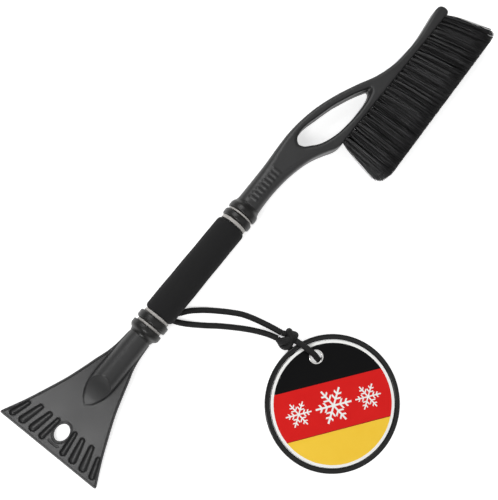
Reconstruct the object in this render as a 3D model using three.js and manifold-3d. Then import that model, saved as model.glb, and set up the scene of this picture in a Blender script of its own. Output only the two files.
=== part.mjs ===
// Windshield ice scraper with a snow brush, and the hang tag tied to it. Millimetres, +Z up.
// The scraper lies flat: its tube runs along +Y, from the scraping edge to the brush.
// The origin is under the middle of the scraper, on the surface that it lies on.
import * as THREE from 'three';
import { ConvexGeometry } from 'three/addons/geometries/ConvexGeometry.js';
import { mergeVertices } from 'three/addons/utils/BufferGeometryUtils.js';
import Module from 'manifold-3d';

const wasm = await Module();
wasm.setup();

// Gap between pieces that touch, and how far a cutter runs past what it cuts
const GAP = 0.3;
const CLEAR = 30;

// Height of the tube's axis over the surface, and where the tube's frame lies in the origin's:
// lengthwise places are counted along the tube from the lower black ring's near face
const AXIS_HEIGHT = 17;
const CENTRE_X = -15;
const CENTRE_Y = -142;

// Tube
const TUBE_R = 9.5;
const TUBE_WALL = 1.5;
const TUBE_START = -48;
const TUBE_END = 186;
const SOCKET_R = TUBE_R + GAP;
const PIN_PLACES = [-30, 166];
const PIN_R = 2;
const PIN_INSIDE = 6;
const PIN_OUTSIDE = [11, 11.6];

// Blade
const EDGE_S = -143;
const EDGE_HALF = 56;
const EDGE_CORNER = 2.5;
const FAN = [[13, -30], [15, -40], [18.3, -50], [21.3, -60], [27.8, -80], [36, -100], [44.8, -120],
  [55.2, EDGE_S + EDGE_CORNER], [EDGE_HALF - 0.1, EDGE_S + 1], [54.8, EDGE_S]];
const PLATE_START = -14;
const PLATE_THICKNESS = 4;
const PLATE_DROP = 15;
const EDGE_THICKNESS = 1.2;
const CHAMFER_S = -138;
const RIM_WIDTH = 1.6;
const RIM_RISE = 0.8;

// The blade's boss: a tube that widens to its nose, the nose's pointed plan, and the scoop over it
const BOSS_R = 11.2;
const BOSS_NOSE_R = 12.3;
const BOSS_START = -11.3;
const BOSS_TIP = -90;
const NOSE_HALF = 15;
const NOSE_START = -58;
const NOSE_CURVE = [11, -76];
const SCOOP_START = [-60, 12.6];
const SCOOP_CURVE = [-70, 1];
const SCOOP_CUT = 0.8;
const POCKET_DEPTH = 2.4;
const POCKET_TOP = -112;
const POCKET_BOTTOM = -138.4;
const POCKETS = [
  { top: 9.5, bottom: 12.6, half: 2.9, rise: 0 },
  { top: 18, bottom: 24, half: 3.3, rise: 0 },
  { top: 28.3, bottom: 36, half: 3.4, rise: 0 },
  { top: 39.3, bottom: 47.2, half: 2.9, rise: 5 },
];
const HANG_HOLE = { s: -122, halfWidth: 6.75, halfLength: 8.75, ringWidth: 1.8, ringRise: 0.7 };

// Rings, washers, collars and grip along the tube: start, end, radius, edge rounding
const LOWER_COLLAR = { start: -11, end: -0.8, mouth: 11.3, r: 15.5 };
const LOWER_WASHER_OUTER = { start: -0.5, end: 1.8, r: 12.9 };
const LOWER_RING = { start: 2.1, end: 9.8, r: 15.5, round: 3 };
const LOWER_WASHER_INNER = { start: 10.1, end: 12.8, r: 13.1 };
const GRIP = { start: 13.1, end: 121.3, r: 15.2, endR: 14.8, round: 3.5 };
const UPPER_WASHER_INNER = { start: 121.6, end: 124.8, r: 13 };
const UPPER_RING = { start: 125.1, end: 131.8, r: 14.7, round: 2.6 };
const UPPER_WASHER_OUTER = { start: 132.1, end: 134, r: 12.8 };
const UPPER_COLLAR = { start: 134.3, end: 144.3, mouth: 11.9, r: 14.7 };

// A collar's outside, from its wide end: how far from that end, and how far inside its radius
const COLLAR_SHOULDER = [[0, 0.8], [0.9, 0], [4, 0], [6.4, 1.2]];
const COLLAR_NECK = { along: 8.6, over: 0.8 };

// Brush frame
const FRAME_START = 144.6;
const FRAME_DEPTH = 24;
const FRAME_EDGE = 2.4;
const BLOCK_FACE_X = 31.5;
const FRAME_RIGHT = [[11.9, FRAME_START], [11.2, 155], [11, 170], [12.5, 190], [16.5, 210], [20, 220],
  [25, 230], [30, 239], [BLOCK_FACE_X, 244]];
const FRAME_TIP = [[BLOCK_FACE_X, 410], [29.6, 411.5], [28, 414.5], [25.5, 416.5], [21, 414]];
const FRAME_LEFT = [[19.5, 409], [22, 390], [23.4, 375], [23.3, 360], [21.6, 340], [16, 320], [6.5, 300],
  [-2, 280], [-8.5, 260], [-12.5, 240], [-14, 222], [-13.6, 205], [-12.4, 185], [-11.9, FRAME_START]];
const FINGER_LOOP = [[1, 219.5], [5.5, 221.5], [9.5, 226], [14.5, 232], [18.8, 241], [22, 252], [24, 268],
  [24.4, 282], [23.4, 296], [21.2, 304], [18.6, 306], [16, 302], [10, 290], [6, 280], [2.3, 270], [-2.8, 250],
  [-5.3, 240], [-6.2, 231], [-5, 224.5], [-2, 220.8], [1, 219.5]];
const RIDGES = { first: 152, pitch: 4.8, count: 8, length: 7, r: 1.1 };
const STEM_ROUND_R = 12.6;
const STEM_FLAT_S = 205;
const STEM_FLAT_HALF = 26;

// Bristles
const TUFT_COUNT = 18;
const TUFT_PITCH = 9.1;
const TUFT_FIRST = 252.4;
const TUFT_BASE_R = 2.6;
const TUFT_HOLE_R = 4;
const TUFT_HOLE_DEPTH = 5.5;
const ROOT_LEAN = 0.04;
const TUFT_ROW_Z = 6.4;
const TIP_FIRST = 249.4;
const TIP_LAST = 422.1;
const TIP_HALF_WIDTH = 4.9;
const TIP_X = 86;
const TIP_SLANT = 0.0335;
const TIP_INNER_Z = 0.2;
const TIP_OUTER_Z = AXIS_HEIGHT;

// Cord and tag
const CORD_R = 3;
const CORD_SIDES = 10;
const STRAND_STEP = 10;
const LOOP_STEP = 4.5;
const EXIT_S = 22.3;
const EXIT_SPREAD = 3.75;
const EXIT_TURN = THREE.MathUtils.degToRad(45);
const GROMMET_HALF = 4.3;
const GROMMET_INNER = 7.6;
const STOPPER_R = 4.6;
const KNOT = { x: 107.5, y: 73, z: 9.1, rx: 7.5, ry: 12, rz: 9 };
const TAG_X = 177;
const TAG_Y = 53;
const TAG_R = 64.5;
const TAG_RIM_WIDTH = 5;
const TAG_RIM_HEIGHT = 3;
const TAG_RIM_ROUND = 1.3;
const TAG_LEAN = THREE.MathUtils.degToRad(4.5);
const TAG_BOARD = { low: 0.9, high: 2.3 };
const TAG_PRINT = { low: 2.6, high: 3 };
const TAG_HOLE = { x: -39.7, y: 23.6, r: 5.6, barrel: 6.2, flange: 7.3, low: 0.3, high: 3 };

// Cord routes: places along each strand, in the tube's frame, height over the surface
const UPPER_STRAND = [[12, 26.6, 5], [14.2, 29, 3.7], [17, 32.8, 3.1], [20.5, 36.9, 3], [25, 41, 3],
  [30, 45.3, 3], [40, 52.5, 3], [50, 59, 3], [60, 64.5, 3], [70, 68, 3], [80, 70.6, 3],
  [90, 72.8, 3], [99.4, 74.4, 3]];
const LOWER_STRAND = [[12, 18.8, 5], [14.6, 19.6, 3.6], [18, 21, 3.1], [23, 23.6, 3], [30, 28, 3],
  [40, 35, 3], [50, 42.5, 3], [60, 49.2, 3], [70, 55.4, 3], [80, 60.8, 3], [90, 65.2, 3],
  [99.4, 68, 3]];
const TAG_LOOP = [[114, 75.8, 14.6], [117.5, 76, 16], [122, 76.3, 16.9], [126.7, 76.5, 16.9],
  [130.8, 76.6, 16.2], [134.4, 76.6, 14.1], [136.9, 76.6, 11.3], [138.3, 76.6, 8.7], [140.7, 76.6, 5.9],
  [144.3, 76.3, 3.8], [149, 75, 3.1], [154.4, 71.8, 3], [158, 66.5, 3], [158.3, 60.3, 3], [154.6, 55, 3],
  [148, 52.2, 3], [140, 53.3, 3], [132, 57.8, 3], [124, 63.4, 3], [115.9, 67.4, 3.7]];

const charcoal = { color: 0x3a3b3d, roughness: 0.5, metalness: 0 };
const blackPlastic = { color: 0x1e1d1c, roughness: 0.45, metalness: 0 };
const grayPlastic = { color: 0xaaa49f, roughness: 0.5, metalness: 0 };
const foam = { color: 0x242426, roughness: 0.95, metalness: 0 };
const aluminium = { color: 0xb4b6b8, roughness: 0.35, metalness: 1 };
const steel = { color: 0x9a9c9e, roughness: 0.3, metalness: 1 };
const bristle = { color: 0x1c1c1e, roughness: 0.7, metalness: 0 };
const braid = { color: 0x1a1a1b, roughness: 0.9, metalness: 0 };
const board = { color: 0x202022, roughness: 0.5, metalness: 0 };
const print = { color: 0xd7191c, roughness: 0.4, metalness: 0 };

const part = new THREE.Group();
const scraper = new THREE.Group();
scraper.position.set(CENTRE_X, CENTRE_Y, AXIS_HEIGHT);
const lying = new THREE.Group();
lying.position.set(CENTRE_X, CENTRE_Y, 0);
part.add(scraper, lying);

function piece(name, geometry, finish, group = scraper) {
  const mesh = new THREE.Mesh(geometry, new THREE.MeshStandardMaterial(finish));
  mesh.name = name;
  group.add(mesh);
}

// Closed solids for cutting and joining, and back to a geometry
function solid(geometry) {
  const bare = geometry.index ? geometry.toNonIndexed() : geometry.clone();
  bare.deleteAttribute('normal');
  bare.deleteAttribute('uv');
  const merged = mergeVertices(bare, 1e-4);
  const vertProperties = new Float32Array(merged.attributes.position.array);
  const triVerts = new Uint32Array(merged.index.array);
  return new wasm.Manifold(new wasm.Mesh({ numProp: 3, vertProperties, triVerts }));
}

function toGeometry(manifold) {
  const mesh = manifold.getMesh();
  const geometry = new THREE.BufferGeometry();
  geometry.setAttribute('position', new THREE.BufferAttribute(mesh.vertProperties, 3));
  geometry.setIndex(new THREE.BufferAttribute(mesh.triVerts, 1));
  geometry.computeVertexNormals();
  return geometry;
}

// A solid of revolution about the tube's axis, from a closed profile of [radius, place along the tube]
function turned(profile, segments = 28) {
  return new THREE.LatheGeometry(profile.map(([r, s]) => new THREE.Vector2(r, s)), segments);
}

// A ring on the tube, with rounded outer edges where round is given
function ring({ start, end, r, endR = r, round = 0 }) {
  const corner = (edgeR, edgeS, side) => {
    if (round === 0) return [[edgeR, edgeS]];
    const angles = [-Math.PI / 2, -Math.PI / 4, 0];
    const points = angles.map((a) => [
      edgeR - round + round * Math.cos(a),
      edgeS + side * round * (1 + Math.sin(a)),
    ]);
    return side > 0 ? points : points.reverse();
  };
  return turned([[SOCKET_R, start], ...corner(r, start, 1), ...corner(endR, end, -1),
    [SOCKET_R, end], [SOCKET_R, start]]);
}

// A flat outline in the tube's frame, and the solid between two heights over it
function outline(points) {
  return new THREE.Shape(points.map(([x, y]) => new THREE.Vector2(x, y)));
}

function slab(shape, low, high, curveSegments = 6) {
  const settings = { depth: high - low, bevelEnabled: false, curveSegments };
  return new THREE.ExtrudeGeometry(shape, settings).translate(0, 0, low);
}

// A side view, given as [place along the tube, height], made into a solid across the tube
const ACROSS = new THREE.Matrix4().makeBasis(
  new THREE.Vector3(0, 1, 0), new THREE.Vector3(0, 0, 1), new THREE.Vector3(1, 0, 0));
function sideSlab(shape, halfWidth) {
  return slab(shape, -halfWidth, halfWidth).applyMatrix4(ACROSS);
}

function stadium(halfWidth, length) {
  const run = length / 2 - halfWidth;
  const shape = new THREE.Shape();
  shape.absarc(0, run, halfWidth, 0, Math.PI);
  shape.absarc(0, -run, halfWidth, Math.PI, 2 * Math.PI);
  return shape;
}

// --- Tube and its fixings ---

const exitFrame = new THREE.Matrix4().makeRotationY(Math.PI - EXIT_TURN).setPosition(0, EXIT_S, 0);

// A stadium-shaped bar out of the tube at the cord's exit, between two distances from the axis
function exitBar(halfWidth, halfLength, near, far) {
  return slab(stadium(halfWidth, 2 * halfLength), near, far, 4).applyMatrix4(exitFrame);
}

function upright(s, r, low, high) {
  const rod = new THREE.CylinderGeometry(r, r, high - low, 12).rotateX(Math.PI / 2);
  return rod.translate(0, s, (low + high) / 2);
}

const exitHole = solid(exitBar(GROMMET_HALF + GAP, GROMMET_HALF + EXIT_SPREAD + GAP, TUBE_R / 2, CLEAR));
const pinHoles = PIN_PLACES.map((s) => solid(upright(s, PIN_R + GAP, -CLEAR, -PIN_INSIDE)));

let tube = solid(turned([
  [TUBE_R - TUBE_WALL, TUBE_START], [TUBE_R, TUBE_START], [TUBE_R, TUBE_END],
  [TUBE_R - TUBE_WALL, TUBE_END], [TUBE_R - TUBE_WALL, TUBE_START]])).subtract(exitHole);
for (const hole of pinHoles) tube = tube.subtract(hole);
piece('shaft_tube', toGeometry(tube), aluminium);
['blade_lock_pin', 'brush_lock_pin'].forEach((name, i) => {
  piece(name, upright(PIN_PLACES[i], PIN_R, -PIN_OUTSIDE[i], -PIN_INSIDE - GAP), steel);
});

// --- Blade ---

// Height of the plate's underside: level at the socket, bending down to the edge
function plateUnderside(s) {
  const run = (PLATE_START - s) / (PLATE_START - EDGE_S);
  return PLATE_DROP - AXIS_HEIGHT - PLATE_DROP * (0.15 * run + 0.85 * run * run);
}

function plateTop(s) {
  return plateUnderside(s) + PLATE_THICKNESS;
}

function plateSection(rise, lastS, edgeThickness) {
  const places = [PLATE_START, -40, -60, -80, -100, -120, lastS];
  const under = [...places, EDGE_S].map((s) => [s, plateUnderside(s)]);
  const top = places.map((s) => [s, plateTop(s) + rise]);
  const edge = edgeThickness > 0 ? [[EDGE_S, plateUnderside(EDGE_S) + edgeThickness]] : [];
  return outline([...under, ...edge, ...top.reverse()]);
}

function fanOutline(inset, lastS = EDGE_S) {
  const right = FAN.map(([x, s]) => [x - inset, Math.max(s, lastS)]);
  const left = right.map(([x, s]) => [-x, s]);
  return outline([...left, ...right.reverse()]);
}

const fan = solid(slab(fanOutline(0), -CLEAR, CLEAR));
const fanInside = solid(slab(fanOutline(RIM_WIDTH), -2 * CLEAR, 2 * CLEAR));
const plate = sideSlab(plateSection(0, CHAMFER_S, EDGE_THICKNESS), EDGE_HALF + CLEAR);
let blade = solid(plate).intersect(fan);
const raisedPlate = sideSlab(plateSection(RIM_RISE, CHAMFER_S, EDGE_THICKNESS), EDGE_HALF + CLEAR);
const raised = solid(raisedPlate).intersect(fan);
blade = blade.add(raised.subtract(fanInside));

const bossBody = turned([[0, BOSS_TIP], [BOSS_NOSE_R, BOSS_TIP], [BOSS_NOSE_R, -60],
  [BOSS_R, BOSS_START], [0, BOSS_START]]);
const nose = new THREE.Shape();
nose.moveTo(-NOSE_HALF, BOSS_START);
nose.lineTo(-NOSE_HALF, NOSE_START);
nose.quadraticCurveTo(-NOSE_CURVE[0], NOSE_CURVE[1], 0, BOSS_TIP);
nose.quadraticCurveTo(...NOSE_CURVE, NOSE_HALF, NOSE_START);
nose.lineTo(NOSE_HALF, BOSS_START);
const scoop = new THREE.Shape();
const scoopEnd = BOSS_TIP - 2;
scoop.moveTo(...SCOOP_START);
scoop.quadraticCurveTo(...SCOOP_CURVE, scoopEnd, plateTop(BOSS_TIP) - SCOOP_CUT);
scoop.lineTo(scoopEnd, CLEAR);
scoop.lineTo(SCOOP_START[0], CLEAR);
const noseBlock = solid(slab(nose, -CLEAR, CLEAR));
blade = blade.add(solid(bossBody).intersect(noseBlock).subtract(solid(sideSlab(scoop, CLEAR))));

// A cutter or ring that stands square on the plate at a place
function onPlate(geometry, x, s) {
  const slope = Math.atan((plateTop(s + 1) - plateTop(s - 1)) / 2);
  return solid(geometry.rotateX(slope).translate(x, s, plateTop(s)));
}

const { s: holeS, halfWidth, halfLength, ringWidth, ringRise } = HANG_HOLE;
function ovalSlab(grow, low, high) {
  const shape = new THREE.Shape();
  shape.absellipse(0, 0, halfWidth + grow, halfLength + grow, 0, 2 * Math.PI);
  return onPlate(slab(shape, low, high, 12), 0, holeS);
}
for (const side of [-1, 1]) {
  for (const { top, bottom, half, rise } of POCKETS) {
    const run = new THREE.Vector2(bottom - top, POCKET_BOTTOM - POCKET_TOP + rise);
    const slot = slab(stadium(half, run.length()), -POCKET_DEPTH, PLATE_THICKNESS, 4);
    slot.rotateZ(side * Math.atan2(run.x, -run.y));
    const middleS = (POCKET_TOP - rise + POCKET_BOTTOM) / 2;
    blade = blade.subtract(onPlate(slot, (side * (top + bottom)) / 2, middleS));
  }
}
blade = blade.add(ovalSlab(ringWidth, -1, ringRise));
blade = blade.subtract(ovalSlab(0, -2 * PLATE_THICKNESS, PLATE_THICKNESS));

// A bore for the tube, from a little past the tube's end out of the socket
function socketBore(from, to) {
  const bore = new THREE.CylinderGeometry(SOCKET_R, SOCKET_R, to - from, 28);
  return solid(bore.translate(0, (from + to) / 2, 0));
}
blade = blade.subtract(socketBore(TUBE_START - GAP, BOSS_START + CLEAR)).subtract(pinHoles[0]);
piece('scraper_blade', toGeometry(blade), charcoal);

// --- Rings, collars and grip ---

function collar(name, wide, narrow, { mouth, r }) {
  const dir = Math.sign(narrow - wide);
  const shoulder = COLLAR_SHOULDER.map(([along, inset]) => [r - inset, wide + dir * along]);
  const neck = [mouth + COLLAR_NECK.over, wide + dir * COLLAR_NECK.along];
  const bore = [[SOCKET_R, narrow], [SOCKET_R, wide]];
  const profile = [[SOCKET_R, wide], ...shoulder, neck, [mouth, narrow], ...bore];
  piece(name, turned(dir > 0 ? profile : profile.reverse()), blackPlastic);
}
collar('lower_collar', LOWER_COLLAR.end, LOWER_COLLAR.start, LOWER_COLLAR);
collar('upper_collar', UPPER_COLLAR.start, UPPER_COLLAR.end, UPPER_COLLAR);

piece('lower_washer_outer', ring(LOWER_WASHER_OUTER), grayPlastic);
piece('lower_washer_inner', ring(LOWER_WASHER_INNER), grayPlastic);
piece('upper_washer_inner', ring(UPPER_WASHER_INNER), grayPlastic);
piece('upper_washer_outer', ring(UPPER_WASHER_OUTER), grayPlastic);
piece('lower_ring', ring(LOWER_RING), blackPlastic);
piece('upper_ring', ring(UPPER_RING), blackPlastic);
piece('grip_sleeve', toGeometry(solid(ring(GRIP)).subtract(exitHole)), foam);

// --- Brush frame ---

function splined(shape, points) {
  shape.splineThru(points.map(([x, y]) => new THREE.Vector2(x, y)));
}

const frameShape = outline([FRAME_LEFT.at(-1), FRAME_RIGHT[0]]);
splined(frameShape, FRAME_RIGHT.slice(1));
for (const [x, y] of FRAME_TIP) frameShape.lineTo(x, y);
frameShape.lineTo(...FRAME_LEFT[0]);
splined(frameShape, FRAME_LEFT.slice(1));
const loopPath = new THREE.Path();
loopPath.moveTo(...FINGER_LOOP[0]);
splined(loopPath, FINGER_LOOP.slice(1));
frameShape.holes.push(loopPath);
const frameGeometry = new THREE.ExtrudeGeometry(frameShape, {
  depth: FRAME_DEPTH - 2 * FRAME_EDGE, curveSegments: 1, bevelSegments: 2,
  bevelThickness: FRAME_EDGE, bevelSize: FRAME_EDGE, bevelOffset: -FRAME_EDGE,
}).translate(0, 0, FRAME_EDGE - FRAME_DEPTH / 2);

// The stem is round where it meets the collar and turns into the flat frame
const stemPoints = [-1, 1].flatMap((x) => [-1, 1].map(
  (z) => new THREE.Vector3(x * STEM_FLAT_HALF, STEM_FLAT_S, (z * FRAME_DEPTH) / 2)));
for (let i = 0; i < 24; i += 1) {
  const angle = (i * Math.PI) / 12;
  const [x, z] = [STEM_ROUND_R * Math.cos(angle), STEM_ROUND_R * Math.sin(angle)];
  stemPoints.push(new THREE.Vector3(x, FRAME_START - GAP, z));
}
const stem = solid(new ConvexGeometry(stemPoints));
const beyondStem = outline([[-CLEAR, STEM_FLAT_S - GAP], [2 * CLEAR, STEM_FLAT_S - GAP],
  [2 * CLEAR, TIP_LAST + CLEAR], [-CLEAR, TIP_LAST + CLEAR]]);
let frame = solid(frameGeometry).intersect(stem.add(solid(slab(beyondStem, -FRAME_DEPTH, FRAME_DEPTH))));
for (let i = 0; i < RIDGES.count; i += 1) {
  const ridge = new THREE.CapsuleGeometry(RIDGES.r, RIDGES.length, 2, 6).rotateZ(Math.PI / 2);
  frame = frame.add(solid(ridge.translate(0, RIDGES.first + RIDGES.pitch * i, FRAME_DEPTH / 2)));
}
frame = frame.subtract(socketBore(FRAME_START - CLEAR, TUBE_END + GAP)).subtract(pinHoles[1]);

// --- Bristles: two staggered rows of tufts, each in its own hole in the block ---

const tipPitch = (TIP_LAST - TIP_FIRST) / (TUFT_COUNT - 1);
function tuft(row, place) {
  const rootY = TUFT_FIRST + TUFT_PITCH * place;
  const tipY = TIP_FIRST + tipPitch * place;
  const tipZ = (TIP_INNER_Z + TIP_OUTER_Z) / 2;
  const tipHalfZ = (TIP_OUTER_Z - TIP_INNER_Z) / 2;
  const baseX = BLOCK_FACE_X - TUFT_HOLE_DEPTH + 1;
  const baseY = rootY - ROOT_LEAN * (tipY - rootY);
  const points = [];
  for (let i = 0; i < 8; i += 1) {
    const angle = ((i + 0.5) * Math.PI) / 4;
    const across = Math.cos(angle);
    const up = Math.sin(angle);
    const z = row * (TUFT_ROW_Z + TUFT_BASE_R * up);
    points.push(new THREE.Vector3(baseX, baseY + TUFT_BASE_R * across, z));
    const farY = tipY + (TIP_HALF_WIDTH * across) / Math.cos(Math.PI / 8);
    const farZ = row * (tipZ + (tipHalfZ * up) / Math.cos(Math.PI / 8));
    points.push(new THREE.Vector3(TIP_X - TIP_SLANT * (farY - TIP_FIRST + TIP_HALF_WIDTH), farY, farZ));
  }
  return { rootY, geometry: new ConvexGeometry(points) };
}

for (const [name, row, count, shift] of [['top', 1, TUFT_COUNT, 0], ['bottom', -1, TUFT_COUNT - 1, 0.5]]) {
  for (let i = 0; i < count; i += 1) {
    const { rootY, geometry } = tuft(row, i + shift);
    const hole = new THREE.CylinderGeometry(TUFT_HOLE_R, TUFT_HOLE_R, TUFT_HOLE_DEPTH + 4, 10)
      .rotateZ(Math.PI / 2).translate(BLOCK_FACE_X + 2 - TUFT_HOLE_DEPTH / 2, rootY, row * TUFT_ROW_Z);
    frame = frame.subtract(solid(hole));
    piece(`bristle_tuft_${name}_${String(i + 1).padStart(2, '0')}`, geometry, bristle);
  }
}
piece('brush_frame', toGeometry(frame), charcoal);

// --- Cord: grommet, clamped ends, two strands, knot and the loop through the tag ---

const exitEnd = GRIP.r - 0.4;
let grommet = solid(exitBar(GROMMET_HALF, GROMMET_HALF + EXIT_SPREAD, GROMMET_INNER, exitEnd));
let stopper = solid(new THREE.CapsuleGeometry(STOPPER_R, 2 * EXIT_SPREAD, 3, 10).translate(0, EXIT_S, 0));
for (const side of [-1, 1]) {
  const bar = (r, length) => solid(new THREE.CylinderGeometry(r, r, length, 12).rotateX(Math.PI / 2)
    .translate(0, side * EXIT_SPREAD, length / 2).applyMatrix4(exitFrame));
  grommet = grommet.subtract(bar(CORD_R + GAP, CLEAR));
  stopper = stopper.add(bar(CORD_R, exitEnd));
}
piece('cord_grommet', toGeometry(grommet), blackPlastic);
piece('cord_stopper', toGeometry(stopper), braid);

function strand(name, route, step) {
  const path = new THREE.CatmullRomCurve3(route.map((place) => new THREE.Vector3(...place)));
  const section = new THREE.Shape();
  section.absarc(0, 0, CORD_R, 0, 2 * Math.PI);
  const steps = Math.round(path.getLength() / step);
  const geometry = new THREE.ExtrudeGeometry(section, {
    steps, extrudePath: path, curveSegments: CORD_SIDES / 2, bevelEnabled: false,
  });
  piece(name, geometry, braid, lying);
}
strand('cord_strand_upper', UPPER_STRAND, STRAND_STEP);
strand('cord_strand_lower', LOWER_STRAND, STRAND_STEP);
strand('cord_tag_loop', TAG_LOOP, LOOP_STEP);
const knot = new THREE.SphereGeometry(1, 14, 10).scale(KNOT.rx, KNOT.ry, KNOT.rz);
piece('cord_knot', knot.translate(KNOT.x, KNOT.y, KNOT.z), braid, lying);

// --- Tag: it leans on the cord, its far edge on the surface ---

const tag = new THREE.Group();
tag.position.set(TAG_X, TAG_Y, TAG_R * Math.sin(TAG_LEAN) + 0.1);
tag.rotation.y = TAG_LEAN;
lying.add(tag);

function tagTurned(profile, segments, x = 0, y = 0) {
  return turned(profile, segments).rotateX(Math.PI / 2).translate(x, y, 0);
}

function tagDisc(radius, holeR, { low, high }) {
  const shape = new THREE.Shape();
  shape.absarc(0, 0, radius, 0, 2 * Math.PI);
  const hole = new THREE.Path();
  hole.absarc(TAG_HOLE.x, TAG_HOLE.y, holeR, 0, 2 * Math.PI);
  shape.holes.push(hole);
  return slab(shape, low, high, 18);
}

const rimIn = TAG_R - TAG_RIM_WIDTH;
const boardR = rimIn - GAP;
const rimLow = TAG_RIM_HEIGHT - TAG_RIM_ROUND;
piece('tag_rim', tagTurned([[rimIn, 0], [TAG_R - TAG_RIM_ROUND, 0], [TAG_R, TAG_RIM_ROUND], [TAG_R, rimLow],
  [TAG_R - TAG_RIM_ROUND, TAG_RIM_HEIGHT], [rimIn + TAG_RIM_ROUND, TAG_RIM_HEIGHT], [rimIn, rimLow],
  [rimIn, 0]], 40), board, tag);
piece('tag_disc', tagDisc(boardR, TAG_HOLE.barrel + GAP, TAG_BOARD), board, tag);
piece('tag_print', tagDisc(boardR - 0.2, TAG_HOLE.flange + GAP, TAG_PRINT), print, tag);
const { r: eyeR, barrel, flange, low: eyeLow, high: eyeHigh } = TAG_HOLE;
const underBoard = TAG_BOARD.low - GAP;
const overBoard = TAG_BOARD.high + GAP;
piece('tag_eyelet', tagTurned([[eyeR, eyeLow], [flange, eyeLow], [flange, underBoard], [barrel, underBoard],
  [barrel, overBoard], [flange, overBoard], [flange, eyeHigh], [eyeR, eyeHigh], [eyeR, eyeLow]],
20, TAG_HOLE.x, TAG_HOLE.y), aluminium, tag);

export default part;
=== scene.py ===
import math
import random

import bmesh
import bpy
import numpy as np
from mathutils import Matrix, Vector


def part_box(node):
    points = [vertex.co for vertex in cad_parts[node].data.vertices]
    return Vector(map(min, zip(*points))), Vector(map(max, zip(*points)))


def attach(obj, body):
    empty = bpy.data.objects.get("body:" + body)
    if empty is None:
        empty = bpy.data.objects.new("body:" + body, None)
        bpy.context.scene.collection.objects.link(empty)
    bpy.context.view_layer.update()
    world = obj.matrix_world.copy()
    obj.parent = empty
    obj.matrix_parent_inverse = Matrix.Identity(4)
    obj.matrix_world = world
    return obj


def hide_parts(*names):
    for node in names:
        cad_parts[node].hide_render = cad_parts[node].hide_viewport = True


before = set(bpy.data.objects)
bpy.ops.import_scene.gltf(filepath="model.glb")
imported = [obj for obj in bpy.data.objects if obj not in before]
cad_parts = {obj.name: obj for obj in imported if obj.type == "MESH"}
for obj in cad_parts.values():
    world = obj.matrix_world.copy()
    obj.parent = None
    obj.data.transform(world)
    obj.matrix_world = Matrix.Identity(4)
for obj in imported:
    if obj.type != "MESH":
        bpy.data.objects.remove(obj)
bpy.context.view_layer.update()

# ---------------------------------------------------------------- camera
# A long lens looks almost straight down on the scraper where it lies, turned so that the
# handle runs from the lower left to the upper right.
LOWER_RING_START = 0.0021
tube_low, tube_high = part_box("shaft_tube")
axis_x = (tube_low[0] + tube_high[0]) / 2
axis_z = (tube_low[2] + tube_high[2]) / 2
start_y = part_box("lower_ring")[0][1] - LOWER_RING_START


def at(across, along, up=0.0):
    """A place on the scraper, from the tube's middle: across it, along it to the brush, and up."""
    return Vector((axis_x + across, start_y + along, axis_z + up))


CAMERA_PLACE = (0.0266, -0.0337, 0.9301)
VIEW_TILT = math.radians(8.99)
VIEW_TURN = math.radians(39.21)
camera_data = bpy.data.cameras.new("camera")
camera_data.lens = 73.05
camera_data.clip_end = 20
camera = bpy.data.objects.new("camera", camera_data)
camera.matrix_world = (
    Matrix.Translation(at(*CAMERA_PLACE))
    @ Matrix.Rotation(VIEW_TILT, 4, "X")
    @ Matrix.Rotation(VIEW_TURN, 4, "Z")
)
bpy.context.scene.collection.objects.link(camera)
bpy.context.scene.camera = camera

# ---------------------------------------------------------------- wrist cord
# A black elastic cord, 6 mm thick, with a braided polyester sheath. Both ends are clamped inside
# the tube, and it leaves the grip's underside through a bush, so two strands lie side by side.
CORD_RADIUS = 0.003


class Value:
    """A number, vector or colour that changes over a surface."""

    def __init__(self, finish, socket):
        self.finish = finish
        self.socket = socket

    def combine(self, operation, *numbers):
        values = dict(enumerate(numbers))
        return self.finish.node("Math", {"operation": operation}, values)

    def __add__(self, other):
        return self.combine("ADD", self, other)

    def __sub__(self, other):
        return self.combine("SUBTRACT", self, other)

    def __rsub__(self, other):
        return self.combine("SUBTRACT", other, self)

    def __mul__(self, other):
        return self.combine("MULTIPLY", self, other)

    def __pow__(self, other):
        return self.combine("POWER", self, other)

    def __lt__(self, other):
        return self.combine("LESS_THAN", self, other)

    def __gt__(self, other):
        return self.combine("GREATER_THAN", self, other)

    def __abs__(self):
        return self.combine("ABSOLUTE", self)

    __radd__ = __add__
    __rmul__ = __mul__


class Finish:
    """A material: its constants sit on the shader, and what changes over the surface is linked."""

    def __init__(self, name, colour, roughness, metallic=0.0, constants=()):
        self.material = bpy.data.materials.new(name)
        self.material.use_nodes = True
        self.tree = self.material.node_tree
        self.shader = self.tree.nodes["Principled BSDF"]
        self.set("Base Color", (*colour, 1))
        self.set("Roughness", roughness)
        self.set("Metallic", metallic)
        for socket, value in dict(constants).items():
            self.set(socket, value)

    def node(self, kind, settings=(), values=(), output=0):
        made = self.tree.nodes.new("ShaderNode" + kind)
        for key, value in dict(settings).items():
            setattr(made, key, value)
        for key, value in dict(values).items():
            self.feed(made.inputs[key], value)
        return Value(self, made.outputs[output])

    def feed(self, socket, value):
        if isinstance(value, Value):
            self.tree.links.new(value.socket, socket)
        else:
            socket.default_value = value

    def set(self, socket, value):
        self.feed(self.shader.inputs[socket], value)

    def place(self):
        return self.node("TexCoord", output="Object")

    def noise(self, scale, detail, place=None):
        values = {"Vector": place or self.place(), "Scale": scale, "Detail": detail}
        return self.node("TexNoise", values=values)

    def mix(self, factor, low, high):
        values = {"Factor": factor, 6: low, 7: high}
        return self.node("Mix", {"data_type": "RGBA"}, values, output=2)

    def bump(self, height, distance, strength):
        values = {"Height": height, "Distance": distance, "Strength": strength}
        self.set("Normal", self.node("Bump", values=values))


def grey(level):
    return (level, level, level, 1)


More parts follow.
